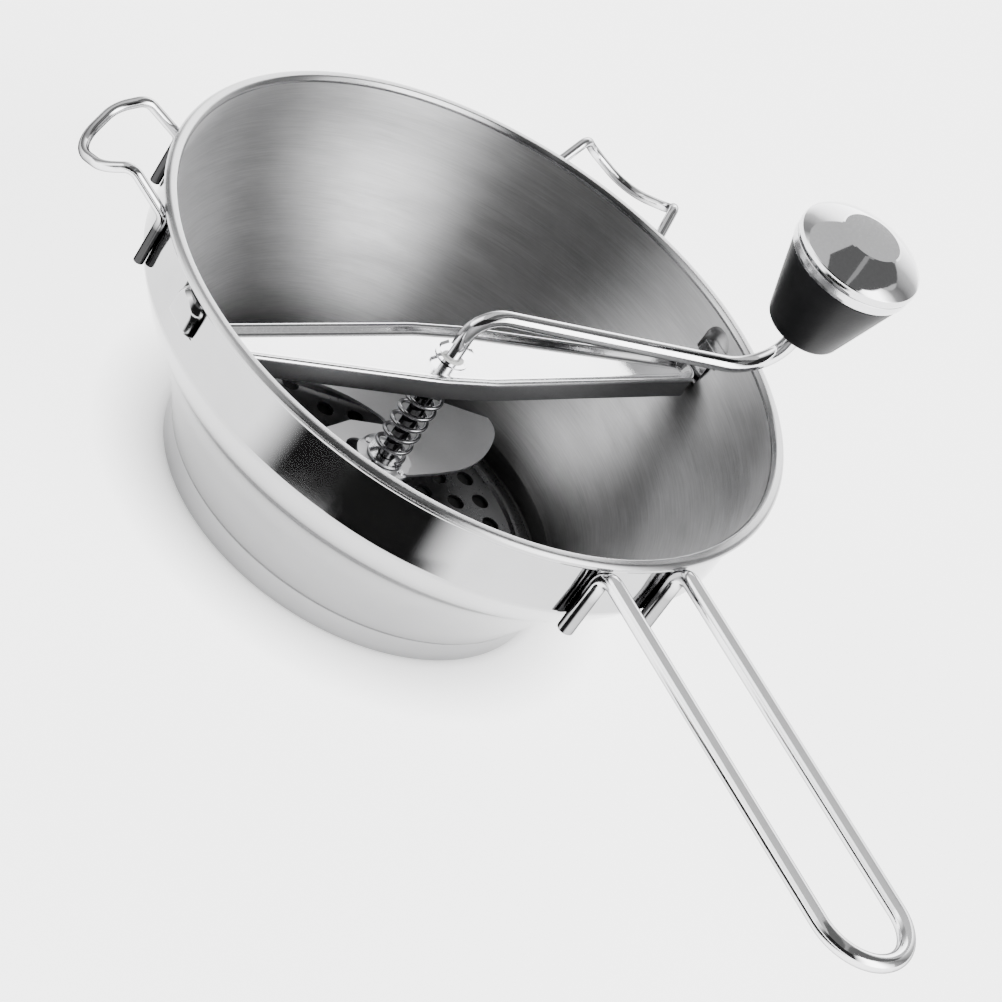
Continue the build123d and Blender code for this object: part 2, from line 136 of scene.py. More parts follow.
# Section of its edge, (distance in from the outline, height): floor, rolled bead, skirt and back
BAR_SECTION = [
    (5.6, 73.8), (4.4, 73.8), (3.4, 74.5), (2.6, 75.3), (2.0, 75.8), (1.3, 76.0), (0.9, 75.5), (0.8, 74.7),
    (0.8, 68.5), (0.0, 68.5), (0.0, 75.2), (0.10, 75.8), (0.36, 76.3), (0.75, 76.66), (1.2, 76.8),
    (1.6, 76.75), (2.0, 76.55), (2.5, 76.2), (3.4, 75.35), (3.9, 74.95), (4.4, 74.7), (4.9, 74.6),
    (5.6, 74.6)]
BAR_FLOOR = (73.8, 74.6)
TAB_HALF_WIDTH = 4.3
TAB_BEVEL = 0.25
TAB_SIDE = [(113.8, 72.8), (115.8, 72.8), (115.8, 87.4), (120.2, 87.4), (120.2, 88.2), (115.0, 88.2),
            (115.0, 73.6), (113.8, 73.6)]
BUSH_RADIUS = 4.6
BUSH_SIDES = 48

# Spring
SPRING_RADIUS = 6.15
SPRING_WIRE = 0.85
SPRING_TURNS = 7
SPRING_LOW = 26.0
SPRING_HIGH = 66.4
SPRING_STEPS = 56
SPRING_SIDES = 16


# Node helpers ------------------------------------------------------------------------------------


class Nodes:
    """A node tree with short calls for adding and linking nodes."""

    def __init__(self, tree):
        self.tree = tree
        tree.nodes.clear()

    def add(self, kind, inputs=None, **settings):
        node = self.tree.nodes.new("ShaderNode" + kind)
        for key, value in settings.items():
            setattr(node, key, value)
        for key, value in (inputs or {}).items():
            self.plug(node.inputs[key], value)
        return node

    def plug(self, socket, value):
        if isinstance(value, bpy.types.NodeSocket):
            self.tree.links.new(value, socket)
        else:
            socket.default_value = value

    def math(self, operation, a, b=0.0, clamp=False):
        node = self.add("Math", {0: a, 1: b}, operation=operation, use_clamp=clamp)
        return node.outputs[0]

    def ramp(self, value, stops, interpolation="EASE"):
        node = self.add("ValToRGB", {0: value})
        band = node.color_ramp
        band.interpolation = interpolation
        while len(band.elements) < len(stops):
            band.elements.new(0.5)
        for element, (place, level) in zip(band.elements, stops):
            element.position = place
            element.color = (*level, 1) if isinstance(level, tuple) else (level, level, level, 1)
        return node.outputs["Color"]


def new_material(name):
    made = bpy.data.materials.new(name)
    made.use_nodes = True
    return made, Nodes(made.node_tree)


def streak_coordinates(n, around, across):
    """Object coordinates stretched round the Z axis: slow along the circumference, fast across it."""
    place = n.add("TexCoord").outputs["Object"]
    x, y, z = n.add("SeparateXYZ", {0: place}).outputs
    flat = n.add("CombineXYZ", {0: x, 1: y, 2: 0.0}).outputs[0]
    radius = n.add("VectorMath", {0: flat}, operation="LENGTH").outputs["Value"]
    unit = n.add("VectorMath", {0: flat}, operation="NORMALIZE").outputs[0]
    turned = n.add("VectorMath", {0: unit, "Scale": around}, operation="SCALE").outputs[0]
    profile = n.math("ADD", n.math("MULTIPLY", z, across), n.math("MULTIPLY", radius, across * 0.7))
    rise = n.add("CombineXYZ", {0: 0.0, 1: 0.0, 2: profile}).outputs[0]
    return n.add("VectorMath", {0: turned, 1: rise}, operation="ADD").outputs[0]


def outward_facing(n, x, y):
    """How far a face is turned away from the Z axis: 1 outwards, -1 inwards."""
    flat = n.add("CombineXYZ", {0: x, 1: y, 2: 0.0}).outputs[0]
    outwards = n.add("VectorMath", {0: flat}, operation="NORMALIZE").outputs[0]
    normal = n.add("NewGeometry").outputs["Normal"]
    return n.add("VectorMath", {0: outwards, 1: normal}, operation="DOT_PRODUCT").outputs["Value"]


def steel(name, tone, roughness, spread=0.06, grain=0.05, dirt=0.05, low_shade=None, edge=1.0, sides=1.0):
    """Stainless steel with fine all-over scratches and uneven gloss.
    The painted shade low down is given as (height, height, share, back): below the first height the tone is
    only that share, and only the last share on the faces turned to the axis. edge darkens the metal where it
    is seen edge on, and sides is the share of the tone on upright faces: painted shade on them."""
    made, n = new_material(name)
    place = n.add("TexCoord").outputs["Object"]
    fine = n.add("TexNoise", {"Vector": place, "Scale": 900.0, "Detail": 3.0}).outputs["Fac"]
    cloud = n.add("TexNoise", {"Vector": place, "Scale": 45.0, "Detail": 5.0}).outputs["Fac"]
    dark = tuple(c * (1 - dirt) for c in tone)
    light = tuple(min(1.0, c * (1 + dirt)) for c in tone)
    colour = n.ramp(n.math("ADD", n.math("MULTIPLY", fine, 0.6), n.math("MULTIPLY", cloud, 0.4)),
                    [(0.3, dark), (0.7, light)], "LINEAR")
    uneven = n.math("ADD", n.math("MULTIPLY", fine, 0.5), n.math("MULTIPLY", cloud, 0.5))
    rough = n.add("MapRange", {0: uneven, 1: 0.3, 2: 0.7,
                               3: max(0.02, roughness - spread), 4: roughness + spread}).outputs[0]
    bump = n.add("Bump", {"Strength": grain, "Distance": 0.0002, "Height": fine}).outputs[0]
    # Painted shade: the tone drops below a height, and further on faces turned to the axis.
    if low_shade:
        low, high, share, back = low_shade
        x, y, height = n.add("SeparateXYZ", {0: place}).outputs
        facing = outward_facing(n, x, y)
        turned_in = n.add("MapRange", {0: facing, 1: -0.1, 2: 0.2, 3: back, 4: share}).outputs[0]
        left = n.add("MapRange", {0: height, 1: low, 2: high, 3: turned_in, 4: 1.0}).outputs[0]
        colour = n.add("MixRGB", {0: 1.0, 1: colour, 2: left}, blend_type="MULTIPLY").outputs[0]
    # Painted shade: upright faces keep only this share of the tone.
    if sides < 1.0:
        normal = n.add("NewGeometry").outputs["Normal"]
        steep = n.math("ABSOLUTE", n.add("SeparateXYZ", {0: normal}).outputs["Z"])
        left = n.add("MapRange", {0: steep, 1: 0.2, 2: 0.6, 3: sides, 4: 1.0}).outputs[0]
        colour = n.add("MixRGB", {0: 1.0, 1: colour, 2: left}, blend_type="MULTIPLY").outputs[0]
    shader = n.add("BsdfPrincipled", {"Base Color": colour, "Metallic": 1.0, "Roughness": rough,
                                      "Normal": bump, "Specular Tint": (edge, edge, edge, 1)})
    n.add("OutputMaterial", {"Surface": shader.outputs[0]})
    return made


def hood_edge_shade(n, x, y, z):
    """1 on a line round the edge of each hood, where a dark line of painted shade goes."""
    turn = math.radians(BAR_AZIMUTH)
    across = n.math("ADD", n.math("MULTIPLY", x, math.cos(turn)), n.math("MULTIPLY", y, math.sin(turn)))
    across = n.math("SUBTRACT", n.math("ABSOLUTE", across), (HOOD_HALF_WIDTH - HOOD_CORNER) * MM)
    middle = (HOOD_LOW + HOOD_HIGH) / 2
    up = n.math("ABSOLUTE", n.math("SUBTRACT", z, middle * MM))
    up = n.math("SUBTRACT", up, (HOOD_HIGH - middle - HOOD_CORNER) * MM)
    corner = n.add("CombineXYZ", {0: n.math("MAXIMUM", across, 0.0), 1: n.math("MAXIMUM", up, 0.0),
                                  2: 0.0}).outputs[0]
    reach = n.add("VectorMath", {0: corner}, operation="LENGTH").outputs["Value"]
    off = n.math("ABSOLUTE", n.math("SUBTRACT", reach, (HOOD_CORNER + 0.1) * MM))
    line = n.add("MapRange", {0: off, 1: 0.4 * MM, 2: 0.9 * MM, 3: 1.0, 4: 0.0}).outputs[0]
    return n.math("MULTIPLY", line, n.math("GREATER_THAN", outward_facing(n, x, y), 0.02))


def bowl_steel():
    """Brushed round the axis inside and polished outside, in one sheet."""
    made, n = new_material("bowl_steel_finish")
    place = n.add("TexCoord").outputs["Object"]
    x, y, z = n.add("SeparateXYZ", {0: place}).outputs
    turned_in = n.math("LESS_THAN", outward_facing(n, x, y), -0.15)
    inside = n.math("MULTIPLY", turned_in, n.math("LESS_THAN", z, RIM_INSIDE_TOP))
    fine = n.add("TexNoise", {"Vector": streak_coordinates(n, 5.0, 1600.0), "Scale": 1.0, "Detail": 5.0,
                              "Roughness": 0.75}).outputs["Fac"]
    broad = n.add("TexNoise", {"Vector": streak_coordinates(n, 3.0, 110.0), "Scale": 1.0, "Detail": 4.0,
                               "Roughness": 0.6}).outputs["Fac"]
    cloud = n.add("TexNoise", {"Vector": place, "Scale": 30.0, "Detail": 5.0}).outputs["Fac"]
    brushed_tone = n.ramp(n.math("ADD", n.math("MULTIPLY", fine, 0.55), n.math("MULTIPLY", broad, 0.45)),
                          [(0.33, (0.40, 0.40, 0.405)), (0.67, (0.60, 0.60, 0.605))], "LINEAR")
    polished_tone = n.ramp(cloud, [(0.3, (0.35, 0.35, 0.355)), (0.7, (0.40, 0.40, 0.405))], "LINEAR")
    # Painted shade: a near-black line round each hood on the outside.
    polished_tone = n.add("MixRGB", {0: hood_edge_shade(n, x, y, z), 1: polished_tone,
                                     2: (0.008, 0.008, 0.008, 1)}).outputs[0]
    # Painted shade: the brushed inside darkens towards the bottom of the bowl.
    bottom_shade = n.add("MapRange", {0: z, 1: 0.006, 2: 0.030, 3: 0.12, 4: 1.0},
                  interpolation_type="SMOOTHSTEP").outputs[0]
    brushed_tone = n.add("MixRGB", {0: 1.0, 1: brushed_tone, 2: bottom_shade}, blend_type="MULTIPLY").outputs[0]
    colour = n.add("MixRGB", {0: inside, 1: polished_tone, 2: brushed_tone}).outputs[0]
    brushed_rough = n.add("MapRange", {0: broad, 1: 0.3, 2: 0.7, 3: 0.40, 4: 0.54}).outputs[0]
    polished_rough = n.add("MapRange", {0: cloud, 1: 0.3, 2: 0.7, 3: 0.05, 4: 0.09}).outputs[0]
    rough = n.add("Mix", {0: inside, 2: polished_rough, 3: brushed_rough}).outputs[0]
    on_rim = n.math("GREATER_THAN", z, RIM_INSIDE_TOP)
    rough = n.math("ADD", rough, n.math("MULTIPLY", on_rim, 0.16))
    height = n.math("MULTIPLY", fine, n.math("ADD", n.math("MULTIPLY", inside, 0.94), 0.02))
    bump = n.add("Bump", {"Strength": 0.25, "Distance": 0.0001, "Height": height}).outputs[0]
    shader = n.add("BsdfPrincipled", {"Base Color": colour, "Metallic": 1.0, "Roughness": rough,
                                      "Normal": bump, "Anisotropic": 0.9, "Anisotropic Rotation": 0.25})
    n.plug(shader.inputs["Tangent"], n.add("Tangent", direction_type="RADIAL", axis="Z").outputs[0])
    n.add("OutputMaterial", {"Surface": shader.outputs[0]})
    return made


def plastic(name, tone, roughness, grain):
    made, n = new_material(name)
    place = n.add("TexCoord").outputs["Object"]
    fine = n.add("TexNoise", {"Vector": place, "Scale": 1400.0, "Detail": 3.0}).outputs["Fac"]
    cloud = n.add("TexNoise", {"Vector": place, "Scale": 60.0, "Detail": 4.0}).outputs["Fac"]
    dark = tuple(c * 0.8 for c in tone)
    light = tuple(c * 1.25 for c in tone)
    colour = n.ramp(cloud, [(0.3, dark), (0.7, light)], "LINEAR")
    rough = n.add("MapRange", {0: cloud, 1: 0.3, 2: 0.7,
                               3: roughness - 0.06, 4: roughness + 0.06}).outputs[0]
    bump = n.add("Bump", {"Strength": grain, "Distance": 0.0003, "Height": fine}).outputs[0]
    shader = n.add("BsdfPrincipled", {"Base Color": colour, "Roughness": rough, "Normal": bump,
                                      "Specular IOR Level": 0.09})
    n.add("OutputMaterial", {"Surface": shader.outputs[0]})
    return made


BOWL = bowl_steel()
# The handle, hooks and crank are painted darker low down inside the bowl: painted shade.
WIRE = steel("drawn_wire", (0.74, 0.74, 0.75), 0.10, 0.04, low_shade=(0.084, 0.092, 0.35, 0.06), edge=0.15)
HOOK = steel("hook_wire", (0.74, 0.74, 0.75), 0.10, 0.04, low_shade=(0.088, 0.096, 0.045, 0.03), edge=0.08)
CRANK = steel("crank_wire", (0.74, 0.74, 0.75), 0.10, 0.04, low_shade=(0.064, 0.070, 0.18, 0.18), edge=0.3)
# The bar's upright skirts are painted darker: painted shade.
SHEET_STEEL = steel("pressed_sheet", (0.72, 0.72, 0.73), 0.13, 0.04, sides=0.42)
BAND = steel("brushed_band", (0.66, 0.66, 0.67), 0.2, 0.05)
BLADE = steel("blade_sheet", (0.74, 0.74, 0.75), 0.40, 0.05, grain=0.01, dirt=0.03)
DISC = steel("sieve_sheet", (0.26, 0.26, 0.265), 0.30, 0.06)
FITTING = steel("turned_fitting", (0.55, 0.55, 0.56), 0.22, 0.06)
SPRING = steel("spring_wire", (0.30, 0.30, 0.31), 0.14, 0.04)
CAP = steel("polished_cap", (0.62, 0.62, 0.63), 0.06, 0.02, grain=0.01)
BRASS = steel("sleeve_brass", (0.70, 0.52, 0.25), 0.22, 0.05)
GRIP = plastic("moulded_grip", (0.006, 0.006, 0.0065), 0.42, 0.12)
BUSH = plastic("bush_plastic", (0.72, 0.72, 0.70), 0.38, 0.06)
CORE = plastic("core_plastic", (0.03, 0.03, 0.03), 0.5, 0.06)

FINISH = {
    "bowl_shell": BOWL,
    "long_handle": WIRE,
    "support_hook_left": HOOK,
    "support_hook_rear": HOOK,
    "crank_rod": CRANK,
    "sieve_disc": DISC,
    "disc_hub": FITTING,
    "bridge_bar": SHEET_STEEL,
    "bridge_bush": BUSH,
    "bush_lock_ring": SHEET_STEEL,
    "upper_spring_washer": FITTING,
    "lower_spring_washer": FITTING,
    "compression_spring": SPRING,
    "blade_hub": FITTING,
    "blade": BLADE,
    "blade_rivets": FITTING,
    "hub_pin": FITTING,
    "knob_washer": FITTING,
    "stem_push_nut": FITTING,
    "knob_grip": GRIP,
    "knob_core": CORE,
    "knob_sleeve": BRASS,
    "knob_band": BAND,
    "knob_cap": CAP,
}
for name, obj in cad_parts.items():
    if not obj.material_slots:
        obj.data.materials.append(None)
    for place in obj.material_slots:
        place.link = "OBJECT"
        place.material = FINISH[name]


# Shapes ------------------------------------------------------------------------------------------


def arc_points(corner, before, after, radius, steps):
    """Points of a fillet at a corner between two neighbours, in 2D."""
    c, a, b = Vector(corner), Vector(before), Vector(after)
    to_a, to_b = (a - c).normalized(), (b - c).normalized()
    half = to_a.angle(to_b) / 2
    if radius <= 0 or half > math.radians(89):
        return [tuple(c)]
    cut = min(radius / math.tan(half), (a - c).length * 0.49, (b - c).length * 0.49)
    start, end = c + to_a * cut, c + to_b * cut
    middle = c + (to_a + to_b).normalized() * cut / math.cos(half)
    reach = cut * math.tan(half)
    spokes = [(start - middle).normalized(), (end - middle).normalized()]
    points = []
    for step in range(steps + 1):
        spoke = spokes[0].lerp(spokes[1], step / steps).normalized()
        points.append(tuple(middle + spoke * reach))
    return points


def rounded_loop(corners, steps=5):
    """A closed 2D outline from (x, y, fillet radius) corners."""
    points = []
    count = len(corners)
    for index, (x, y, radius) in enumerate(corners):
        before = corners[index - 1][:2]
        after = corners[(index + 1) % count][:2]
        points += arc_points((x, y), before, after, radius, steps)
    return points


def catmull(points, steps):
    """A smooth 2D curve through points."""
    padded = [points[0]] + list(points) + [points[-1]]
    curve = []
    for index in range(1, len(padded) - 2):
        a, b, c, d = (Vector(padded[index + k]) for k in (-1, 0, 1, 2))
        for step in range(steps):
            t = step / steps
            curve.append(tuple(((2 * b) + (c - a) * t + (2 * a - 5 * b + 4 * c - d) * t * t
                                + (3 * b - 3 * c + d - a) * t ** 3) / 2))
    return curve + [tuple(points[-1])]


def finish_mesh(name, mesh, material, sharp=32.0):
    for polygon in mesh.polygons:
        polygon.use_smooth = True
    mesh.set_sharp_from_angle(angle=math.radians(sharp))
    mesh.materials.clear()
    mesh.materials.append(material)
    piece = bpy.data.objects.new(name, mesh)
    bpy.context.scene.collection.objects.link(piece)
    return piece


def grid_mesh(name, rows, closed_rows=True, closed_columns=True):
    """A mesh from rows of points that all have the same number of columns."""
    mesh = bpy.data.meshes.new(name)
    count = len(rows[0])
    faces = []
    for i in range(len(rows) if closed_rows else len(rows) - 1):
        for j in range(count if closed_columns else count - 1):
            a, b = i * count, ((i + 1) % len(rows)) * count
            k = (j + 1) % count
            faces.append((a + j, b + j, b + k, a + k))
    mesh.from_pydata([p for row in rows for p in row], [], faces)
    return mesh


def turned_mesh(name, profile, segments, place=Matrix.Identity(4)):
    """A closed (radius, height) profile in millimetres, revolved about Z and put in place."""
    rows = []
    for index in range(segments):
        angle = 2 * math.pi * index / segments
        rows.append([place @ Vector((r * math.cos(angle) * MM, r * math.sin(angle) * MM, z * MM))
                     for r, z in profile])
    mesh = grid_mesh(name, rows)
    tidy = bmesh.new()
    tidy.from_mesh(mesh)
    bmesh.ops.remove_doubles(tidy, verts=tidy.verts, dist=1e-7)
    bmesh.ops.recalc_face_normals(tidy, faces=tidy.faces)
    tidy.to_mesh(mesh)
    tidy.free()
    return mesh


def hood_mesh(name, layers):
    """Two arched pockets, one at each end of the bar, from (radius, how far drawn in) layers."""
    shape = bmesh.new()
    for turn in (0, 180):
        loops = []
        for radius, inset in layers:
            half = HOOD_HALF_WIDTH - inset
            low, high = HOOD_LOW + inset * 0.7, HOOD_HIGH - inset
            arch = max(1.0, HOOD_ARCH - inset * 0.6)
            outline = rounded_loop([(-half, low, 0.9), (half, low, 0.9), (half, high, arch),
                                    (-half, high, arch)], 8)
            place = Matrix.Rotation(math.radians(turn + BAR_AZIMUTH), 3, "Z")
            loops.append([shape.verts.new(place @ Vector((across, -radius, height)) * MM)
                          for across, height in outline])
        count = len(loops[0])
        for a, b in zip(loops, loops[1:]):
            for j in range(count):
                k = (j + 1) % count
                shape.faces.new((a[j], a[k], b[k], b[j]))
        shape.faces.new(loops[0])
        shape.faces.new(loops[-1])
    bmesh.ops.recalc_face_normals(shape, faces=shape.faces)
    mesh = bpy.data.meshes.new(name)
    shape.to_mesh(mesh)
    shape.free()
    return mesh


def boolean(base, other, operation):
    """base with another mesh joined on or cut away, as a new mesh."""
    objects = [bpy.data.objects.new("work", mesh) for mesh in (base, other)]
    for obj in objects:
        bpy.context.scene.collection.objects.link(obj)
    cut = objects[0].modifiers.new("cut", "BOOLEAN")
    cut.operation = operation
    cut.solver = "EXACT"
    cut.object = objects[1]
    bpy.context.view_layer.update()
    result = objects[0].evaluated_get(bpy.context.evaluated_depsgraph_get())
    made = bpy.data.meshes.new_from_object(result)
    for obj in objects:
        bpy.data.objects.remove(obj)
    return made


def bowl_piece():
    """The pressing: cone, foot collar, band and rolled rim in one sheet, with the hoods pushed out."""
    outer = catmull(CONE, 6)
    inner = [(r - CONE_SHEET, z) for r, z in reversed(outer)]
    below_bend = inner[:-14]
    corners = [(r, z, 0.0) for r, z in outer] + FOOT
    corners += [(r, z, 0.0) for r, z in below_bend] + INNER_BEND + RIM
    shell = turned_mesh("bowl", rounded_loop(corners), BOWL_SEGMENTS)
    shell = boolean(shell, hood_mesh("hood_groove", HOOD_GROOVE), "DIFFERENCE")
    shell = boolean(shell, hood_mesh("hood", HOOD_LAYERS), "UNION")
    shell = boolean(shell, hood_mesh("hood_hollow", HOLLOW_LAYERS), "DIFFERENCE")
    return finish_mesh("bowl_pressing", shell, BOWL)


def bar_piece():
    """The bar: a long diamond with a rolled bead all round, a flat floor and two upright end tabs."""
    plan = [
        (BAR_END_HALF_WIDTH, -BAR_STRAIGHT, 5.0), (BAR_HALF_WIDTH, -BAR_MIDDLE, 60.0),
        (BAR_HALF_WIDTH, BAR_MIDDLE, 60.0), (BAR_END_HALF_WIDTH, BAR_STRAIGHT, 5.0),
        (BAR_TIP_HALF_WIDTH, BAR_TIP, 6.0), (-BAR_TIP_HALF_WIDTH, BAR_TIP, 6.0),
        (-BAR_END_HALF_WIDTH, BAR_STRAIGHT, 5.0), (-BAR_HALF_WIDTH, BAR_MIDDLE, 60.0),
        (-BAR_HALF_WIDTH, -BAR_MIDDLE, 60.0),
        (-BAR_END_HALF_WIDTH, -BAR_STRAIGHT, 5.0),
        (-BAR_TIP_HALF_WIDTH, -BAR_TIP, 6.0), (BAR_TIP_HALF_WIDTH, -BAR_TIP, 6.0)]
    outline = [Vector(p) for p in rounded_loop(plan, 10)]
    count = len(outline)
    normals = []
    for index in range(count):
        along = (outline[(index + 1) % count] - outline[index - 1]).normalized()
        normals.append(Vector((-along.y, along.x)))
    shape = bmesh.new()
    loops = []
    for inset, height in BAR_SECTION:
        loops.append([shape.verts.new(Vector((*(p + nrm * inset), height)) * MM)
                      for p, nrm in zip(outline, normals)])
    for a, b in zip(loops, loops[1:]):
        for j in range(count):
            k = (j + 1) % count
            shape.faces.new((a[j], a[k], b[k], b[j]))
    for loop, height in zip((loops[0], loops[-1]), BAR_FLOOR):
        hole = []
        for step in range(BUSH_SIDES):
            angle = 2 * math.pi * step / BUSH_SIDES
            point = Vector((BUSH_RADIUS * math.cos(angle), BUSH_RADIUS * math.sin(angle), height))
            hole.append(shape.verts.new(point * MM))
        edges = [shape.edges.new((hole[i], hole[(i + 1) % BUSH_SIDES])) for i in range(BUSH_SIDES)]
        edges += [shape.edges.get((loop[i], loop[(i + 1) % count])) for i in range(count)]
        bmesh.ops.triangle_fill(shape, use_beauty=True, use_dissolve=False, edges=edges)
    for turn in (0, 180):
        tab = bmesh.new()
        ends = [[tab.verts.new(Vector((x, y, z)) * MM) for y, z in TAB_SIDE]
                for x in (-TAB_HALF_WIDTH, TAB_HALF_WIDTH)]
        tab.faces.new(ends[0])
        tab.faces.new(reversed(ends[1]))
        for i in range(len(TAB_SIDE)):
            k = (i + 1) % len(TAB_SIDE)
            tab.faces.new((ends[0][i], ends[1][i], ends[1][k], ends[0][k]))
        bmesh.ops.bevel(tab, geom=tab.edges[:], offset=TAB_BEVEL * MM, segments=2, profile=0.5,
                        affect="EDGES")
        tab.transform(Matrix.Rotation(math.radians(turn), 4, "Z"))
        part = bpy.data.meshes.new("tab")
        tab.to_mesh(part)
        shape.from_mesh(part)
        tab.free()
    bmesh.ops.recalc_face_normals(shape, faces=shape.faces)
    shape.transform(Matrix.Rotation(math.radians(BAR_AZIMUTH), 4, "Z"))
    mesh = bpy.data.meshes.new("bar")
    shape.to_mesh(mesh)
    shape.free()
    return finish_mesh("bar_pressing", mesh, SHEET_STEEL)


def tube_rows(path, radius, sides):
    """Rings of points round a path, without twist."""
    rows = []
    normal = None
    for index, point in enumerate(path):
        before = path[max(index - 1, 0)]
        after = path[min(index + 1, len(path) - 1)]
        along = (after - before).normalized()
        if normal is None:
            normal = along.orthogonal().normalized()
        normal = (normal - along * normal.dot(along)).normalized()
        other = along.cross(normal)
        turns = [2 * math.pi * k / sides for k in range(sides)]
        rows.append([point + (normal * math.cos(turn) + other * math.sin(turn)) * radius for turn in turns])
    return rows


def spring_piece():
    """The coil as round wire, closed at both ends."""
    steps = SPRING_STEPS * SPRING_TURNS
    path = []
    for step in range(steps + 1):
        share = step / steps
        angle = 2 * math.pi * SPRING_TURNS * share
        height = SPRING_LOW + (SPRING_HIGH - SPRING_LOW) * share
        point = Vector((SPRING_RADIUS * math.cos(angle), SPRING_RADIUS * math.sin(angle), height))
        path.append(point * MM)
    mesh = grid_mesh("spring", tube_rows(path, SPRING_WIRE * MM, SPRING_SIDES), closed_rows=False)
    caps = bmesh.new()
    caps.from_mesh(mesh)
    bmesh.ops.holes_fill(caps, edges=[e for e in caps.edges if e.is_boundary], sides=0)
    bmesh.ops.recalc_face_normals(caps, faces=caps.faces)
    caps.to_mesh(mesh)
    caps.free()
    return finish_mesh("coil_spring", mesh, SPRING, 60)


def knob_place():
    """The knob's own frame: its bottom on the crank's stem, leaning with the stem."""
    angle = math.radians(CRANK_AZIMUTH)
    outwards = Vector((math.cos(angle), math.sin(angle), 0))
    aside = Vector((-math.sin(angle), math.cos(angle), 0))
    lean_in, lean_side = math.radians(KNOB_LEAN_IN), math.radians(KNOB_LEAN_SIDE)
    axis = (outwards * -math.sin(lean_in) + aside * math.sin(lean_side)
            + Vector((0, 0, math.cos(lean_in) * math.cos(lean_side)))).normalized()
    turn = Vector((0, 0, 1)).rotation_difference(axis).to_matrix().to_4x4()
    base = outwards * KNOB_FROM_AXIS * MM + Vector((0, 0, KNOB_BOTTOM * MM))
    return Matrix.Translation(base) @ turn


# Knob profiles, (radius, height, fillet) in millimetres from the knob's bottom
GRIP_PROFILE = [(9.1, 4.0, 0.2), (4.6, 4.0, 0.2), (4.6, 0.0, 0.3), (14.0, 0.0, 3.0), (18.9, 17.0, 90.0),
                (23.1, 31.9, 0.6), (22.8, 32.55, 0.3), (9.1, 32.55, 0.2)]
BAND_PROFILE = [(21.4, 32.7, 0.1), (23.6, 32.7, 0.3), (23.9, 34.0, 1.0), (23.9, 36.55, 0.2),
                (21.4, 36.55, 0.1)]
CAP_PROFILE = [(0.0, 46.1, 0.0), (11.5, 46.1, 0.5), (21.6, 39.2, 0.8), (22.6, 36.7, 0.1), (23.9, 36.7, 0.3),
               (24.3, 38.0, 1.6), (23.9, 40.0, 1.2), (22.2, 41.7, 0.0), (19.8, 43.25, 0.0),
               (17.0, 44.75, 0.0), (14.2, 46.0, 0.0), (12.1, 46.8, 0.6), (11.3, 47.0, 0.3), (0.0, 47.1, 0.0)]
KNOB_SHARP = 45
KNOB_SEGMENTS = 160


def ride(piece, body, slot, *nodes):
    """Let a piece move with a body, in place of the CAD nodes named."""
    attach(piece, body)
    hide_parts(*nodes)


ride(bowl_piece(), "bowl", "bowl_steel", "bowl_shell")
ride(bar_piece(), "bowl", "bar_steel", "bridge_bar")
spring = spring_piece()
ride(spring, "bowl", "spring_steel", "compression_spring")
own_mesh(spring)
knob = knob_place()
for name, profile, material, slot, node in (
    ("grip_moulding", GRIP_PROFILE, GRIP, "grip_black", "knob_grip"),
    ("steel_band", BAND_PROFILE, BAND, "band_steel", "knob_band"),
    ("domed_cap", CAP_PROFILE, CAP, "cap_steel", "knob_cap"),
):
    mesh = turned_mesh(name, rounded_loop(profile, 6), KNOB_SEGMENTS, knob)
    ride(finish_mesh(name, mesh, material, KNOB_SHARP), "knob", slot, node)


# Camera, floor and light -------------------------------------------------------------------------


def make_camera():
    azimuth = math.radians(CAMERA_AZIMUTH)
    elevation = math.radians(CAMERA_ELEVATION)
    roll = math.radians(CAMERA_ROLL)
    back = Vector((math.cos(elevation) * math.cos(azimuth), math.cos(elevation) * math.sin(azimuth),
                   math.sin(elevation)))
    level_right = (-back).cross(Vector((0, 0, 1))).normalized()
    level_up = level_right.cross(-back)
    up = level_up * math.cos(roll) + level_right * math.sin(roll)
    right = (-back).cross(up)
    data = bpy.data.cameras.new("camera")
    data.lens = CAMERA_LENS
    data.sensor_width = 36
    data.clip_end = 20
    camera = bpy.data.objects.new("camera", data)
    camera.matrix_world = Matrix.Translation(CAMERA_TARGET + back * CAMERA_DISTANCE) @ Matrix(
        (right, up, back)).transposed().to_4x4()
    bpy.context.scene.collection.objects.link(camera)
    bpy.context.scene.camera = camera


def flat_card(name, corners, material):
    mesh = bpy.data.meshes.new(name)
    mesh.from_pydata(corners, [], [tuple(range(len(corners)))])
    card = bpy.data.objects.new(name, mesh)
    mesh.materials.append(material)
    bpy.context.scene.collection.objects.link(card)
    return card


def make_floor():
    """A pale floor that glows outside the foot, with painted shade under and next to the foot."""
    made, n = new_material("pale_floor")
    cloud = n.add("TexNoise", {"Vector": n.add("TexCoord").outputs["Object"], "Scale": 6.0}).outputs["Fac"]
    x, y, z = n.add("SeparateXYZ", {0: n.add("TexCoord").outputs["Object"]}).outputs
    radius = n.add("VectorMath", {0: n.add("CombineXYZ", {0: x, 1: y, 2: 0.0}).outputs[0]},
                   operation="LENGTH").outputs["Value"]
    # Painted shade: under the foot the floor is almost black and does not glow, and the glow fades in
    # outwards from it.
    glow = n.add("MapRange", {0: radius, 1: GLOW_START, 2: GLOW_FULL, 3: 0.0, 4: GLOW_STRENGTH}).outputs[0]
    clear = n.add("MapRange", {0: radius, 1: GLOW_START, 2: PALE_START, 3: 0.05, 4: 1.0}).outputs[0]
    colour = n.math("MULTIPLY", n.add("MapRange", {0: cloud, 3: 0.86, 4: 0.89}).outputs[0], clear)
    shader = n.add("BsdfPrincipled", {"Base Color": colour, "Roughness": 0.9,
                                      "Specular IOR Level": 0.1, "Emission Color": (1, 1, 1, 1),
                                      "Emission Strength": glow})
    n.add("OutputMaterial", {"Surface": shader.outputs[0]})
    flat_card("floor", [(-3, -3, 0), (3, -3, 0), (3, 3, 0), (-3, 3, 0)], made)


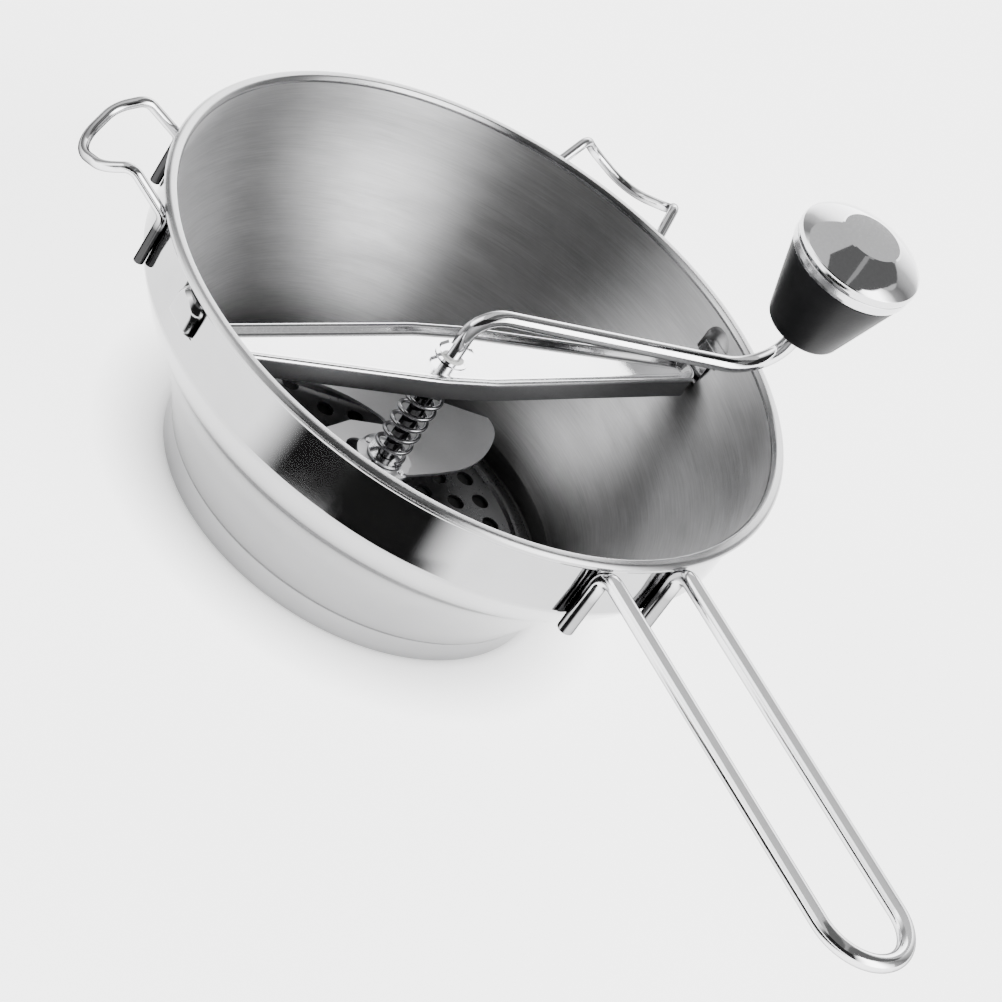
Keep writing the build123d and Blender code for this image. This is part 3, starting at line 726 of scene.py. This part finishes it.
def make_dark_card():
    """Two dark cards low over the floor on the camera's side, seen only in the polished steel."""
    made, n = new_material("dark_card")
    x, y, z = n.add("SeparateXYZ", {0: n.add("TexCoord").outputs["Object"]}).outputs
    turn = n.math("MULTIPLY", n.math("ARCTAN2", y, x), 180 / math.pi)
    off = n.math("ABSOLUTE", n.math("SUBTRACT", turn, CARD_MIDDLE))
    cover = n.add("MapRange", {0: off, 1: CARD_HALF - CARD_SOFT, 2: CARD_HALF + CARD_SOFT, 3: 1.0, 4: 0.0},
                  interpolation_type="SMOOTHSTEP").outputs[0]
    black = n.add("BsdfDiffuse", {"Color": (0.01, 0.01, 0.01, 1)}).outputs[0]
    clear = n.add("BsdfTransparent").outputs[0]
    n.add("OutputMaterial", {"Surface": n.add("MixShader", {0: cover, 1: clear, 2: black}).outputs[0]})
    corners = []
    outward = range(-CARD_SWEEP, CARD_SWEEP + 1, CARD_STEP)
    for reach, sweep in ((CARD_NEAR, outward), (CARD_FAR, reversed(outward))):
        for step in sweep:
            angle = math.radians(CARD_MIDDLE + step)
            corners.append((reach * math.cos(angle), reach * math.sin(angle), CARD_HEIGHT))
    side = [(x * MM, y * MM, SIDE_CARD_HEIGHT * MM) for x, y in SIDE_CARD]
    for card in (flat_card("dark_card", corners, made), flat_card("dark_side_card", side, made)):
        card.visible_camera = False
        card.visible_shadow = False
        card.visible_diffuse = False


def make_sky():
    """A bright studio all round, with a dark stretch on the camera's side and softer greys elsewhere."""
    world = bpy.data.worlds.new("studio")
    bpy.context.scene.world = world
    world.use_nodes = True
    n = Nodes(world.node_tree)
    direction = n.add("TexCoord").outputs["Generated"]
    x, y, z = n.add("SeparateXYZ", {0: direction}).outputs
    turn = n.math("DIVIDE", n.math("ARCTAN2", y, x), 2 * math.pi)
    turn = n.math("ADD", turn, 0.5)
    level = n.ramp(turn, [((a + 180) / 360, v) for a, v in SKY_LEVELS], "LINEAR")
    along, aside = math.cos(DARK_SIDE), math.sin(DARK_SIDE)
    towards = n.math("ADD", n.math("MULTIPLY", x, along), n.math("MULTIPLY", y, aside))
    across = n.math("SUBTRACT", n.math("MULTIPLY", y, along), n.math("MULTIPLY", x, aside))
    dark = n.math("GREATER_THAN", towards, DARK_ROOF_BACK)
    for toward_share, across_share, limit in DARK_ROOF_EDGES:
        reach = n.math("ADD", n.math("MULTIPLY", towards, toward_share),
                       n.math("MULTIPLY", across, across_share))
        dark = n.math("MULTIPLY", dark, n.math("LESS_THAN", reach, limit))
    off = n.math("ABSOLUTE", n.math("SUBTRACT", across, STRIPE_MIDDLE))
    stripe = n.math("LESS_THAN", off, STRIPE_HALF)
    dark = n.math("SUBTRACT", dark, n.math("MULTIPLY", stripe, STRIPE_SHARE), clamp=True)
    roof = n.add("MixRGB", {0: dark, 1: (ROOF_GREY, ROOF_GREY, ROOF_GREY, 1),
                            2: (DARK_ROOF_GREY, DARK_ROOF_GREY, DARK_ROOF_GREY, 1)}).outputs[0]
    eaves = n.ramp(turn, [((a + 180) / 360, v) for a, v in ROOF_EDGE], "LINEAR")
    top = n.add("MapRange", {0: n.math("SUBTRACT", z, eaves), 1: -0.01, 2: 0.01, 3: 0.0, 4: 1.0}).outputs[0]
    blend = n.add("MixRGB", {0: top, 1: level, 2: roof}).outputs[0]
    back = n.add("Background", {"Color": blend, "Strength": SKY_STRENGTH})
    n.add("OutputWorld", {"Surface": back.outputs[0]})


make_camera()
make_floor()
make_dark_card()
make_sky()
